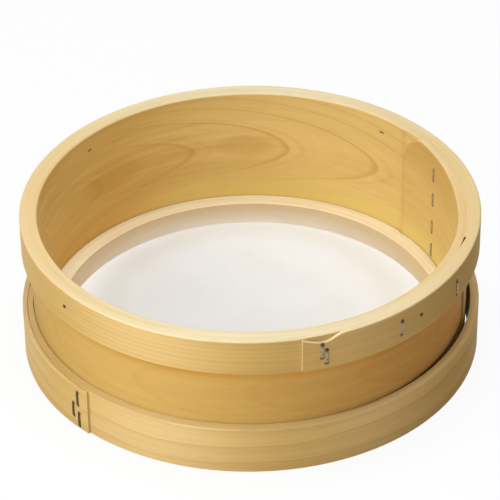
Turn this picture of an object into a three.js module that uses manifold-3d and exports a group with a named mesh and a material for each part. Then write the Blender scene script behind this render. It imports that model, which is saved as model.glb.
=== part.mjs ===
import * as THREE from 'three';
import { mergeVertices } from 'three/addons/utils/BufferGeometryUtils.js';
import Module from 'manifold-3d';

const wasm = await Module();
wasm.setup();

// A round bentwood stock strainer. Millimetres, +Z up, standing on its foot with the axis at the origin.
// Angles are in degrees about +Z from +X; the front of the strainer faces -Y.

const CLEARANCE = 0.3;
const STEP = 3.6;

const OVERALL_HEIGHT = 100;
const BODY_INNER_RADIUS = 138.5;
const BODY_WALL = 5.6;
const BODY_INNER_END = 40.3;
const BODY_OUTER_END = -16;
const BODY_INNER_END_WALL = 1;
const BODY_OUTER_END_WALL = 1.3;
const BODY_INNER_TAPER = 39;
const BODY_OUTER_TAPER = 52;
const BODY_INNER_END_TRIM = [[0, 21.6], [1.6, 9], [5.8, 1.4], [7.5, 0]];

// Where the two layers of the body lap over each other the bands keep the outside round, so the strip is
// pushed inwards there; the swell is the room that the pieces inside leave for it.
const DENT_DEPTH = 2.5;
const DENT_CENTRE = -3;
const DENT_SPREAD = 58;
const SWELL_DEPTH = 4.5;
const SWELL_CENTRE = 6;
const SWELL_SPREAD = 66;

const TOP_BAND_WALL = 5.5;
const TOP_BAND_HEIGHT = 24.4;
const TOP_LAP_END = -78.2;
const TOP_LAP_SPAN = 58;
const TOP_TONGUE_DIP = 4.4;
const TOP_TONGUE_DIP_AT = 5.4;
const TOP_TONGUE_DIP_LEAD = 7.8;
const TOP_TONGUE_DIP_TRAIL = 4.8;

const BOTTOM_BAND_WALL = 5.7;
const BOTTOM_BAND_HEIGHT = 33;
const BOTTOM_LAP_END = -133.3;
const BOTTOM_LAP_SPAN = 75;

const LAP_OUTER_END_WALL = 1.2;
const LAP_INNER_END_WALL = 1.2;

const INNER_HOOP_WALL = 10.1;
const INNER_HOOP_HEIGHT = 16.3;
const INNER_HOOP_YIELD = 0.3;
const INNER_LAP_END = -110;
const INNER_LAP_SPAN = 40;

const CLOTH_THICKNESS = 0.4;
const CLOTH_EDGE_BELOW_BAND = 4;

const EDGE_EASE = 0.9;
const ARRIS_EASE = 0.5;

const STAPLE_CROWN = 10.7;
const STAPLE_WIRE_WIDTH = 1.7;
const STAPLE_WIRE_THICKNESS = 0.7;
const BODY_STAPLE_LEG = 4.2;
const BAND_STAPLE_LEG = 3.4;
const STAPLE_POINT = 1;
const BRAD_SHANK_RADIUS = 0.6;
const BRAD_HEAD_RADIUS = 1.3;
const BRAD_HEAD_THICKNESS = 0.6;
const BRAD_CLENCH = 5;
const BRAD_BELOW_RIM = 11.4;
const BRAD_SIDES = 8;

// Staple places: up the body's lap as shares of its wall above the cloth, and on each band's lap as an angle
// with the distance of the crown's middle from the band's free edge.
const BODY_STAPLE_SHARES = [0.808, 0.566, 0.3, 0.0747];
const BODY_STAPLE_ANGLE = 25;
const TOP_STAPLES = [[-73.5, 10.8], [-72.4, 15.2], [-51.9, 13], [-30.1, 14]];
const BOTTOM_STAPLES = [[-136.7, 23.5], [-136.4, 7.4], [-138.4, 13]];
const BRAD_ANGLES = [-141, -45.5, 48.4, 140.8];

const BODY_OUTER_RADIUS = BODY_INNER_RADIUS + BODY_WALL;
const CLOTH_ROOM = CLOTH_THICKNESS + 2 * CLEARANCE;
const TOP_BAND_INNER_RADIUS = BODY_OUTER_RADIUS + CLEARANCE;
const BOTTOM_BAND_INNER_RADIUS = BODY_OUTER_RADIUS + CLOTH_ROOM;
const BODY_LAP_SPAN = BODY_INNER_END - BODY_OUTER_END;
const INNER_HOOP_RADIUS = BODY_INNER_RADIUS - CLOTH_ROOM - INNER_HOOP_WALL;
const BRAD_HEIGHT = OVERALL_HEIGHT - BRAD_BELOW_RIM;
const CLOTH_LEVEL = INNER_HOOP_HEIGHT + CLEARANCE + CLOTH_THICKNESS;

const radians = THREE.MathUtils.degToRad;
const lerp = THREE.MathUtils.lerp;
const ease = (x) => THREE.MathUtils.smoothstep(x, 0, 1);

// A smooth swelling that is 1 at its centre and 0 at its spread to either side, for an angle in degrees.
function swelling(angle, centre, spread) {
  const away = THREE.MathUtils.euclideanModulo(angle - centre + 180, 360) - 180;
  const share = Math.min(Math.abs(away) / spread, 1);
  return Math.cos(share * Math.PI / 2) ** 2;
}

const bodyDent = (angle) => DENT_DEPTH * swelling(angle, DENT_CENTRE, DENT_SPREAD);
const bodySwell = (angle) => SWELL_DEPTH * swelling(angle, SWELL_CENTRE, SWELL_SPREAD);
const roomInBody = (angle) => BODY_INNER_RADIUS - bodySwell(angle);

// The corner points of a strip's cross-section as [radius, height], each corner eased by its own amount.
function stripSection({ inner, outer, bottom, top, eased }) {
  const limit = 0.35 * (outer - inner);
  const cut = eased.map((amount) => Math.min(amount, limit));
  const corners = [
    { r: inner, z: bottom, dr: 1, dz: 1, cut: cut[0], alongFirst: false },
    { r: outer, z: bottom, dr: -1, dz: 1, cut: cut[1], alongFirst: true },
    { r: outer, z: top, dr: -1, dz: -1, cut: cut[2], alongFirst: false },
    { r: inner, z: top, dr: 1, dz: -1, cut: cut[3], alongFirst: true },
  ];
  return corners.flatMap((c) => {
    if (c.cut === 0) return [[c.r, c.z]];
    const alongRadius = [c.r + c.dr * c.cut, c.z];
    const alongHeight = [c.r, c.z + c.dz * c.cut];
    return c.alongFirst ? [alongRadius, alongHeight] : [alongHeight, alongRadius];
  });
}

function pointAt(radius, angle, height) {
  const a = radians(angle);
  return [radius * Math.cos(a), radius * Math.sin(a), height];
}

// A solid lofted through cross-sections set at rising angles, closed by a flat cap at each end.
function loftStrip(stations) {
  const positions = [];
  const index = [];
  const count = stations[0].section.length;
  for (const { angle, section } of stations) {
    for (const [radius, height] of section) positions.push(...pointAt(radius, angle, height));
  }
  for (let s = 0; s + 1 < stations.length; s += 1) {
    for (let k = 0; k < count; k += 1) {
      const a = s * count + k;
      const b = s * count + (k + 1) % count;
      index.push(a, a + count, b, b, a + count, b + count);
    }
  }
  const last = (stations.length - 1) * count;
  for (let k = 1; k + 1 < count; k += 1) {
    index.push(0, k, k + 1);
    index.push(last, last + k + 1, last + k);
  }
  const geometry = new THREE.BufferGeometry();
  geometry.setAttribute('position', new THREE.Float32BufferAttribute(positions, 3));
  geometry.setIndex(index);
  return geometry;
}

// Angles from start to end in even steps, with extra stations just where a form changes.
function spread(start, end, extra = []) {
  const steps = Math.ceil((end - start) / STEP);
  const even = Array.from({ length: steps + 1 }, (_, i) => lerp(start, end, i / steps));
  const close = (x) => extra.some((e) => Math.abs(e - x) < STEP / 3);
  const kept = even.filter((x, i) => i === 0 || i === steps || !close(x));
  return [...new Set([...kept, ...extra])].sort((a, b) => a - b);
}

// A hoop bent from one strip, scarfed where its ends lap. The run is measured from the outer end along the
// strip; turn is 1 where the strip leaves that end anticlockwise and -1 where it leaves it clockwise.
function scarfedHoop({ inner, outer, bottom, topAt, lapEnd, lapSpan, turn, endWall, eased }) {
  const butt = CLEARANCE / radians(1) / BODY_OUTER_RADIUS;
  const half = CLEARANCE / 2;
  const angleAt = (run) => lapEnd + turn * run;
  const scarf = (share, angle) => lerp(
    outer(angle) + half,
    inner(angle) + LAP_INNER_END_WALL + half,
    share,
  );
  const proud = (share) => (endWall > 0 ? (endWall + CLEARANCE) * (1 - ease(share)) : 0);
  const station = (run) => {
    const angle = angleAt(run);
    let low = inner(angle);
    let high = outer(angle);
    if (run < lapSpan + butt) {
      const share = Math.min(run / lapSpan, 1);
      low = scarf(share, angle) + half;
      high = outer(angle) + proud(share);
    }
    if (run > 360) high = scarf((run - 360) / lapSpan, angle) - half;
    return { inner: low, outer: high, bottom, top: topAt(run), eased };
  };
  const first = endWall > 0 ? 0 : lapSpan * 0.12;
  const runs = spread(first, 360 + lapSpan, [lapSpan, lapSpan + butt, 360]);
  const stations = runs.map((run) => ({ angle: angleAt(run), section: stripSection(station(run)) }));
  if (turn < 0) stations.reverse();
  return {
    geometry: loftStrip(stations),
    outerAt: (angle) => station(THREE.MathUtils.euclideanModulo(turn * (angle - lapEnd), 360)).outer,
  };
}

// How far the upper corner of the body's inner end is trimmed below the rim, along the run from that end.
function endTrim(run) {
  const next = BODY_INNER_END_TRIM.findIndex(([at]) => at >= run);
  if (next < 0) return 0;
  const [to, dropTo] = BODY_INNER_END_TRIM[next];
  const [from, dropFrom] = BODY_INNER_END_TRIM[Math.max(next - 1, 0)];
  return to === from ? dropTo : lerp(dropFrom, dropTo, (run - from) / (to - from));
}

// The body: a thin strip whose ends overlap at full height, the outer end outside and the inner end inside,
// each thinned towards its tip. The run is measured from the inner end, clockwise.
function bodyHoop() {
  const half = CLEARANCE / 2;
  const whole = 360 + BODY_LAP_SPAN;
  const wallAt = (run) => {
    const fromInner = lerp(BODY_INNER_END_WALL, BODY_WALL, ease(run / BODY_INNER_TAPER));
    const fromOuter = lerp(BODY_OUTER_END_WALL, BODY_WALL, ease((whole - run) / BODY_OUTER_TAPER));
    return Math.min(fromInner, fromOuter);
  };
  const seam = (angle) => {
    const share = (angle - BODY_OUTER_END) / BODY_LAP_SPAN;
    return lerp(BODY_OUTER_RADIUS + half, BODY_INNER_RADIUS - half, share);
  };
  const station = (run) => {
    const angle = BODY_INNER_END - run;
    const wall = wallAt(run);
    let inner = BODY_INNER_RADIUS;
    if (run <= BODY_LAP_SPAN) inner = seam(angle) - half - wall;
    if (run >= 360) inner = seam(angle + 360) + half;
    const dent = bodyDent(angle);
    return {
      angle,
      section: stripSection({
        inner: inner - dent,
        outer: inner + wall - dent,
        bottom: CLOTH_ROOM,
        top: OVERALL_HEIGHT - endTrim(run),
        eased: [0, 0, 0, EDGE_EASE],
      }),
    };
  };
  const runs = spread(0, whole, [...BODY_INNER_END_TRIM.map(([run]) => run), BODY_LAP_SPAN, 360]);
  const stations = runs.map(station).reverse();
  const innerAt = (angle) => seam(angle) - half - wallAt(BODY_INNER_END - angle) - bodyDent(angle);
  return { geometry: loftStrip(stations), innerAt };
}

// The cloth: flat over the inner hoop, down between it and the body, under the body and up behind the band.
function strainerCloth() {
  const turns = Math.round(360 / STEP);
  const low = CLEARANCE;
  const high = CLEARANCE + CLOTH_THICKNESS;
  const upper = CLOTH_LEVEL;
  const lower = CLOTH_LEVEL - CLOTH_THICKNESS;
  const positions = [0, 0, upper, 0, 0, lower];
  const index = [];
  const edge = BOTTOM_BAND_HEIGHT - CLOTH_EDGE_BELOW_BAND;
  for (let i = 0; i < turns; i += 1) {
    const angle = i * STEP;
    const down = roomInBody(angle) - CLEARANCE;
    const up = BODY_OUTER_RADIUS + CLEARANCE;
    const outline = [
      [down, upper], [down, high], [up, high], [up, edge],
      [up + CLOTH_THICKNESS, edge], [up + CLOTH_THICKNESS, low],
      [down - CLOTH_THICKNESS, low], [down - CLOTH_THICKNESS, lower],
    ];
    for (const [radius, height] of outline) positions.push(...pointAt(radius, angle, height));
    const here = 2 + i * 8;
    const next = 2 + ((i + 1) % turns) * 8;
    index.push(0, here, next);
    for (let k = 0; k < 7; k += 1) {
      index.push(here + k, here + k + 1, next + k, here + k + 1, next + k + 1, next + k);
    }
    index.push(1, next + 7, here + 7);
  }
  const geometry = new THREE.BufferGeometry();
  geometry.setAttribute('position', new THREE.Float32BufferAttribute(positions, 3));
  geometry.setIndex(index);
  return geometry;
}

// Sets a piece drawn about the origin, its depth along +X, at a height and an angle on the hoop's side.
function setOnSide(geometry, radius, angle, height) {
  geometry.translate(radius, 0, 0);
  geometry.rotateZ(radians(angle));
  geometry.translate(0, 0, height);
  return geometry;
}

// An upright staple: the crown's underside at x = 0 and the legs along inward (-1) or outward (1) from it.
function stapleOutline(legLength, inward) {
  const half = STAPLE_CROWN / 2;
  const wire = STAPLE_WIRE_THICKNESS;
  const leg = legLength * inward;
  const tip = (legLength + STAPLE_POINT) * inward;
  const points = [
    [-wire * inward, -half], [leg, -half], [tip, -half + wire / 2], [leg, -half + wire], [0, -half + wire],
    [0, half - wire], [leg, half - wire], [tip, half - wire / 2], [leg, half], [-wire * inward, half],
  ];
  if (inward < 0) points.reverse();
  return new THREE.Shape(points.map(([x, y]) => new THREE.Vector2(x, y)));
}

function staple(radius, angle, height, legLength, inward) {
  const geometry = new THREE.ExtrudeGeometry(stapleOutline(legLength, inward), {
    depth: STAPLE_WIRE_WIDTH, bevelEnabled: false,
  });
  geometry.translate(0, 0, -STAPLE_WIRE_WIDTH / 2);
  geometry.rotateX(Math.PI / 2);
  return setOnSide(geometry, radius, angle, height);
}

// The two slots that a staple's legs stand in.
function stapleSlots(radius, angle, height, legLength, inward) {
  const depth = legLength + STAPLE_POINT + 2 * CLEARANCE;
  return [-1, 1].map((end) => {
    const slot = new THREE.BoxGeometry(
      depth + CLEARANCE,
      STAPLE_WIRE_WIDTH + 2 * CLEARANCE,
      STAPLE_WIRE_THICKNESS + 2 * CLEARANCE,
    );
    slot.translate(inward * depth / 2, 0, end * (STAPLE_CROWN - STAPLE_WIRE_THICKNESS) / 2);
    return setOnSide(slot, radius, angle, height);
  });
}

function rod(radius, length) {
  const geometry = new THREE.CylinderGeometry(radius, radius, length, BRAD_SIDES);
  geometry.rotateZ(Math.PI / 2);
  return geometry;
}

// A brad driven from outside: its head on the top band, its tip clenched over along the body's inner face.
function brad(outside, inside, angle) {
  const head = rod(BRAD_HEAD_RADIUS, BRAD_HEAD_THICKNESS);
  head.translate(outside + CLEARANCE + BRAD_HEAD_THICKNESS / 2, 0, 0);
  const bend = inside - CLEARANCE - BRAD_SHANK_RADIUS;
  const reach = outside + CLEARANCE + BRAD_HEAD_THICKNESS / 2;
  const shank = rod(BRAD_SHANK_RADIUS, reach - bend);
  shank.translate((reach + bend) / 2, 0, 0);
  const clench = rod(BRAD_SHANK_RADIUS, BRAD_CLENCH);
  clench.translate(BRAD_CLENCH / 2 - BRAD_SHANK_RADIUS, 0, 0);
  clench.rotateZ(Math.PI / 2);
  clench.translate(bend, 0, 0);
  const solid = [shank, clench].reduce((all, one) => all.add(toSolid(one)), toSolid(head));
  return setOnSide(fromSolid(solid), 0, angle, BRAD_HEIGHT);
}

function bradHole(outside, inside, angle) {
  const length = outside - inside + 8 * CLEARANCE;
  const hole = rod(BRAD_SHANK_RADIUS + CLEARANCE, length);
  hole.translate((outside + inside) / 2, 0, 0);
  return setOnSide(hole, 0, angle, BRAD_HEIGHT);
}

function toSolid(geometry) {
  const bare = geometry.clone();
  bare.deleteAttribute('normal');
  bare.deleteAttribute('uv');
  const merged = mergeVertices(bare, 1e-4);
  return new wasm.Manifold(new wasm.Mesh({
    numProp: 3,
    vertProperties: new Float32Array(merged.attributes.position.array),
    triVerts: new Uint32Array(merged.index.array),
  }));
}

function fromSolid(solid) {
  const mesh = solid.getMesh();
  const geometry = new THREE.BufferGeometry();
  geometry.setAttribute('position', new THREE.Float32BufferAttribute(mesh.vertProperties, 3));
  geometry.setIndex(Array.from(mesh.triVerts));
  return geometry;
}

function drilled(geometry, cutters) {
  return fromSolid(cutters.reduce((solid, cutter) => solid.subtract(toSolid(cutter)), toSolid(geometry)));
}

const MATERIALS = {
  wood: new THREE.MeshStandardMaterial({ color: 0xe6c890, roughness: 0.62, metalness: 0 }),
  cloth: new THREE.MeshStandardMaterial({ color: 0xf1ede4, roughness: 0.85, metalness: 0 }),
  steel: new THREE.MeshStandardMaterial({ color: 0x8f8c86, roughness: 0.42, metalness: 1 }),
};

const strainer = new THREE.Group();
strainer.name = 'stock_strainer';

function place(name, geometry, material) {
  const flat = geometry.index ? geometry.toNonIndexed() : geometry;
  flat.computeVertexNormals();
  const mesh = new THREE.Mesh(flat, material);
  mesh.name = name;
  strainer.add(mesh);
}

const body = bodyHoop();
const tongueDip = (run) => {
  const spreadHere = run < TOP_TONGUE_DIP_AT ? TOP_TONGUE_DIP_LEAD : TOP_TONGUE_DIP_TRAIL;
  return TOP_TONGUE_DIP * swelling(run, TOP_TONGUE_DIP_AT, spreadHere);
};
const topBand = scarfedHoop({
  inner: () => TOP_BAND_INNER_RADIUS,
  outer: () => TOP_BAND_INNER_RADIUS + TOP_BAND_WALL,
  bottom: OVERALL_HEIGHT - TOP_BAND_HEIGHT,
  topAt: (run) => OVERALL_HEIGHT - (run < 180 ? tongueDip(run) : 0),
  lapEnd: TOP_LAP_END,
  lapSpan: TOP_LAP_SPAN,
  turn: 1,
  endWall: LAP_OUTER_END_WALL,
  eased: [0, ARRIS_EASE, EDGE_EASE, 0],
});
const bottomBand = scarfedHoop({
  inner: () => BOTTOM_BAND_INNER_RADIUS,
  outer: () => BOTTOM_BAND_INNER_RADIUS + BOTTOM_BAND_WALL,
  bottom: 0,
  topAt: () => BOTTOM_BAND_HEIGHT,
  lapEnd: BOTTOM_LAP_END,
  lapSpan: BOTTOM_LAP_SPAN,
  turn: -1,
  endWall: LAP_OUTER_END_WALL,
  eased: [0, ARRIS_EASE, EDGE_EASE, 0],
});
const innerHoop = scarfedHoop({
  inner: (angle) => INNER_HOOP_RADIUS - INNER_HOOP_YIELD * bodySwell(angle),
  outer: (angle) => roomInBody(angle) - CLOTH_ROOM,
  bottom: 0,
  topAt: () => INNER_HOOP_HEIGHT,
  lapEnd: INNER_LAP_END,
  lapSpan: INNER_LAP_SPAN,
  turn: -1,
  endWall: 0,
  eased: [0, 0, 0, 0],
});

const bodyStapleRadius = body.innerAt(BODY_STAPLE_ANGLE) - CLEARANCE;
const bodyStaples = BODY_STAPLE_SHARES.map((share) => lerp(CLOTH_LEVEL, OVERALL_HEIGHT, share)).map(
  (height) => [bodyStapleRadius, BODY_STAPLE_ANGLE, height, BODY_STAPLE_LEG, 1],
);
const onBand = (band) => ([angle, height]) => (
  [band.outerAt(angle) + CLEARANCE, angle, height, BAND_STAPLE_LEG, -1]
);
const topStaples = TOP_STAPLES.map(([angle, below]) => [angle, OVERALL_HEIGHT - below]).map(onBand(topBand));
const bottomStaples = BOTTOM_STAPLES.map(onBand(bottomBand));
const brads = BRAD_ANGLES.map(
  (angle) => [topBand.outerAt(angle), BODY_INNER_RADIUS - bodyDent(angle), angle],
);
const slotsOf = (staples) => staples.flatMap((one) => stapleSlots(...one));
const bradHoles = brads.map((one) => bradHole(...one));

place('body_hoop', drilled(body.geometry, [...slotsOf(bodyStaples), ...bradHoles]), MATERIALS.wood);
place('top_band', drilled(topBand.geometry, [...slotsOf(topStaples), ...bradHoles]), MATERIALS.wood);
place('bottom_band', drilled(bottomBand.geometry, slotsOf(bottomStaples)), MATERIALS.wood);
place('inner_hoop', innerHoop.geometry, MATERIALS.wood);
place('strainer_cloth', strainerCloth(), MATERIALS.cloth);
bodyStaples.forEach((one, i) => place(`body_lap_staple_${i + 1}`, staple(...one), MATERIALS.steel));
topStaples.forEach((one, i) => place(`top_lap_staple_${i + 1}`, staple(...one), MATERIALS.steel));
bottomStaples.forEach((one, i) => place(`bottom_lap_staple_${i + 1}`, staple(...one), MATERIALS.steel));
brads.forEach((one, i) => place(`top_band_brad_${i + 1}`, brad(...one), MATERIALS.steel));

export default strainer;
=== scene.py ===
"""A round bentwood stock strainer: bent hoops, a strained cloth, wire staples and brads, and their stage."""

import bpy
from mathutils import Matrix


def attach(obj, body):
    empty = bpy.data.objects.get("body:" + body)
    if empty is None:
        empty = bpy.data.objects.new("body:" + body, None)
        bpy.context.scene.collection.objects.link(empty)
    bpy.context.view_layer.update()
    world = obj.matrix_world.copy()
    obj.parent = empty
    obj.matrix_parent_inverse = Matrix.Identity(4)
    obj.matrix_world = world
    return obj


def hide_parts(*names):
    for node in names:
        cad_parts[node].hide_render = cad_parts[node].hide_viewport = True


bl_info = {
    "name": "Stock strainer",
    "version": (1, 0, 0),
    "blender": (4, 5, 0),
    "location": "View3D > Sidebar > Strainer",
    "description": "Builds a bentwood stock strainer piece by piece, and the stage that it stands on",
    "category": "Add Mesh",
}

import math
from dataclasses import dataclass

import bpy
from bpy.props import FloatProperty, FloatVectorProperty, PointerProperty
from mathutils import Vector

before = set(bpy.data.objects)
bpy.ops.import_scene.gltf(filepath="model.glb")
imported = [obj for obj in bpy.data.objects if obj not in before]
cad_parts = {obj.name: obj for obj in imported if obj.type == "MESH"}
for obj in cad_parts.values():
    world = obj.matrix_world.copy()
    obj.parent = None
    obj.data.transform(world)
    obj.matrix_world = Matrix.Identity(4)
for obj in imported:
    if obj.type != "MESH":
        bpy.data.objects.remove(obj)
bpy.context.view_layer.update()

MM = 0.001
FULL_TURN = 360.0


# Values that a user can change

def length(name, description, default):
    return FloatProperty(name=name, description=description, default=default, min=0.0,
                         precision=5, subtype="DISTANCE", unit="LENGTH")


def turn(name, description, default):
    return FloatProperty(name=name, description=description, default=math.radians(default),
                         subtype="ANGLE", unit="ROTATION")


def share(name, description, default):
    return FloatProperty(name=name, description=description, default=default, min=0.0, subtype="FACTOR")


def power(name, description, default):
    return FloatProperty(name=name, description=description, default=default, min=0.0, unit="POWER")


def linear(level):
    """One channel of a screen colour, 0 to 255, as the linear light that it stands for."""
    part = level / 255.0
    return part / 12.92 if part <= 0.04045 else ((part + 0.055) / 1.055) ** 2.4


def colour(name, description, *levels):
    return FloatVectorProperty(name=name, description=description, size=3, min=0.0, max=1.0,
                               default=[linear(level) for level in levels], subtype="COLOR")


class StrainerHoops(bpy.types.PropertyGroup):
    """Sizes of the bent hoops; angles run anticlockwise from +X, and the front faces -Y."""
    height: length("Height", "From the foot to the rim", 100 * MM)
    body_radius: length("Body radius", "Inside radius of the body", 138.5 * MM)
    body_wall: length("Body wall", "Thickness of the body strip", 5.6 * MM)
    body_foot: length("Body foot", "Height of the body's lower edge above the foot", 1.0 * MM)
    body_inner_end: turn("Body inner end", "Where the body strip ends inside its lap", 40.3)
    body_outer_end: turn("Body outer end", "Where the body strip ends outside its lap", -16.0)
    dent: length("Lap dent", "How far the doubled body is pushed inwards", 2.5 * MM)
    swell: length("Inner hoop yield", "How far the inner hoop gives way to the doubled body", 1.35 * MM)
    top_wall: length("Top band wall", "Thickness of the top band", 5.5 * MM)
    top_height: length("Top band height", "Height of the top band", 24.4 * MM)
    top_lap_end: turn("Top lap end", "Where the top band's outer end lies", -78.2)
    top_lap_span: turn("Top lap span", "How far the top band laps over itself", 58.0)
    tongue_dip: length("Tongue dip", "How far the top band's tongue is shaved below the rim", 4.4 * MM)
    bottom_wall: length("Bottom band wall", "Thickness of the bottom band", 5.7 * MM)
    bottom_height: length("Bottom band height", "Height of the bottom band", 33.0 * MM)
    bottom_lap_end: turn("Bottom lap end", "Where the bottom band's outer end lies", -133.3)
    bottom_lap_span: turn("Bottom lap span", "How far the bottom band laps over itself", 75.0)
    inner_wall: length("Inner hoop wall", "Thickness of the inner hoop", 10.1 * MM)
    inner_height: length("Inner hoop height", "Height of the inner hoop", 16.3 * MM)
    inner_lap_end: turn("Inner lap end", "Where the inner hoop's joint starts", -110.0)
    inner_lap_span: turn("Inner lap span", "How far the inner hoop laps over itself", 40.0)
    feather: length("Feathered end", "Thickness of a lapped end at its tip", 1.2 * MM)
    edge_ease: length("Eased edge", "Rounding of the edges that a hand meets", 0.9 * MM)
    arris_ease: length("Eased arris", "Rounding of the other edges", 0.4 * MM)
    gap: length("Working gap", "Gap between pieces that touch", 0.3 * MM)
    tuck: length("Tuck", "Gap between two hoops that the cloth is pressed into", 0.3 * MM)
    seam: length("Seam", "Gap between the layers of a tight lap", 0.01 * MM)
    sharp_ease: length("Sharp arris", "Rounding of the edges that meet in a tight joint", 0.03 * MM)


class StrainerCloth(bpy.types.PropertyGroup):
    """Sizes of the cloth."""
    cut: length("Cut width", "Width of the round cut before it is strained", 379 * MM)
    edge_below_band: length("Edge below band", "From the bottom band's top down to the cloth's edge", 4 * MM)
    thickness: length("Thickness", "Thickness of the cloth", 0.4 * MM)
    pitch: length("Thread pitch", "Distance from one thread to the next", 0.62 * MM)


class StrainerFasteners(bpy.types.PropertyGroup):
    """Sizes of the staples and brads."""
    crown: length("Crown", "Length of a staple's crown", 10.7 * MM)
    wire_width: length("Wire width", "Width of the staple wire", 1.7 * MM)
    wire_thickness: length("Wire thickness", "Thickness of the staple wire", 0.7 * MM)
    body_leg: length("Body staple leg", "Leg of a staple through the body's lap", 4.2 * MM)
    band_leg: length("Band staple leg", "Leg of a staple through a band's lap", 3.4 * MM)
    point: length("Point", "Length of a leg's chisel point", 1.0 * MM)
    brad_shank: length("Brad shank", "Radius of a brad's shank", 0.6 * MM)
    brad_head: length("Brad head", "Radius of a brad's head", 1.3 * MM)
    brad_head_thickness: length("Brad head thickness", "Thickness of a brad's head", 0.6 * MM)
    brad_clench: length("Clench", "Length of a brad's bent-over tip", 5.0 * MM)
    brad_below_rim: length("Brad below rim", "Distance of the brads below the rim", 11.4 * MM)


class StrainerColours(bpy.types.PropertyGroup):
    """Colours of the finishes."""
    body_pale: colour("Body, early wood", "Body between its growth rings", 228, 194, 117)
    body_ring: colour("Body, late wood", "Growth rings of the body", 206, 150, 48)
    inside_pale: colour("Inside, early wood", "Inner faces between their growth rings", 253, 218, 140)
    # Painted bounce light from the cloth on the foot of the body's inner face
    painted_bounce: colour("Bounce-lit inside", "Inner face of the body by the cloth", 255, 232, 146)
    # Lighter and yellower than the other inner faces: painted light that comes through the cloth
    under_cloth: colour("Under the cloth", "Inner face of the inner hoop", 255, 228, 122)
    band_pale: colour("Bands, early wood", "Bands between their growth rings", 234, 204, 135)
    foot_pale: colour("Bottom band, early wood", "Bottom band between its growth rings", 243, 215, 148)
    band_ring: colour("Bands, late wood", "Growth rings of the bands", 206, 160, 88)
    # The swing between these two edge colours paints a sheen on the planed edges
    edge_pale: colour("Pale planed edge", "Planed edges where they cut sapwood", 243, 228, 190)
    edge_warm: colour("Warm planed edge", "Planed edges where they cut heartwood", 239, 210, 156)
    # Lighter than the wood: painted light on the ledge, which lies in the cloth's shade
    ledge_lit: colour("Ledge", "Top of the inner hoop, kept pale by the cloth", 255, 240, 203)
    # Also the colour of the painted shade at ends, in the lap's corner and in gaps
    iron_stain: colour("Iron stain", "Wood round the iron of a staple", 58, 42, 28)
    thread: colour("Thread", "Cloth threads", 237, 240, 243)
    steel: colour("Steel", "Staple wire and brads", 172, 168, 152)
    steel_foot: colour("Foot steel", "Staple wire at the foot, darkened by the wet", 92, 74, 54)
    steel_bright: colour("Bright steel", "Staple wire inside, away from the wet", 186, 168, 132)
    steel_dark: colour("Tarnish", "Tarnish on the wire", 66, 60, 54)
    floor: colour("Floor", "Floor and background", 255, 255, 255)
    paper: colour("Paper", "Floor where it throws light back", 205, 182, 148)


class StrainerStage(bpy.types.PropertyGroup):
    """Camera and light."""
    lens: FloatProperty(name="Lens", description="Focal length", default=195.9, unit="CAMERA")
    distance: length("Distance", "From the camera to the point it looks at", 1.7886)
    look_height: length("Look height", "Height of the point it looks at", 64.43 * MM)
    elevation: turn("Elevation", "How far the camera looks down", 34.675)
    roll: turn("Roll", "Tilt of the camera about its own axis", -0.657)
    shift: FloatProperty(name="Shift", description="Sideways shift of the picture", default=-0.0012)
    key: power("Key light", "Power of the lamp at the front left", 0.53)
    side: power("Side light", "Power of the lamp at the left", 6.5)
    front: power("Front light", "Power of the lamp at the front", 2.6)
    top: power("Top light", "Power of the lamp overhead", 19.2)
    sky: share("Sky", "Strength of the light from all round", 0.0)


def hoops():
    return bpy.context.scene.strainer_hoops


def cloth():
    return bpy.context.scene.strainer_cloth


def fasteners():
    return bpy.context.scene.strainer_fasteners


def colours():
    return bpy.context.scene.strainer_colours


def stage():
    return bpy.context.scene.strainer_stage


# Shader maths

class Value:
    """A value in a material; arithmetic on it adds Math nodes."""

    def __init__(self, finish, socket):
        self.finish = finish
        self.socket = socket

    def math(self, operation, *operands):
        return self.finish.node("ShaderNodeMath", {"operation": operation}, dict(enumerate(operands)))

    def __add__(self, other):
        return self.math("ADD", self, other)

    __radd__ = __add__

    def __sub__(self, other):
        return self.math("SUBTRACT", self, other)

    def __rsub__(self, other):
        return self.math("SUBTRACT", other, self)

    def __mul__(self, other):
        return self.math("MULTIPLY", self, other)

    __rmul__ = __mul__

    def __truediv__(self, other):
        return self.math("DIVIDE", self, other)

    def __rtruediv__(self, other):
        return self.math("DIVIDE", other, self)

    def fraction(self):
        return self.math("FRACT", self)

    def sine(self):
        return self.math("SINE", self)

    def size(self):
        return self.math("ABSOLUTE", self)

    def greater(self, other):
        return self.math("MAXIMUM", self, other)

    def rise(self, low, high, start=0.0, end=1.0):
        """A smooth step from start to end as this value goes from low to high."""
        return self.finish.node("ShaderNodeMapRange", {"interpolation_type": "SMOOTHSTEP"},
                                {"Value": self, "From Min": low, "From Max": high,
                                 "To Min": start, "To Max": end})

    def hump(self, low, full, fading, gone):
        """A smooth step from 0 to 1 between low and full, and back to 0 between fading and gone."""
        return self.rise(low, full) * (1.0 - self.rise(fading, gone))

    def swing(self, pace, start):
        """A swing between 0 and 1, at a pace in radians for each unit of this value."""
        return (self * pace + start).sine() * 0.5 + 0.5


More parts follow.
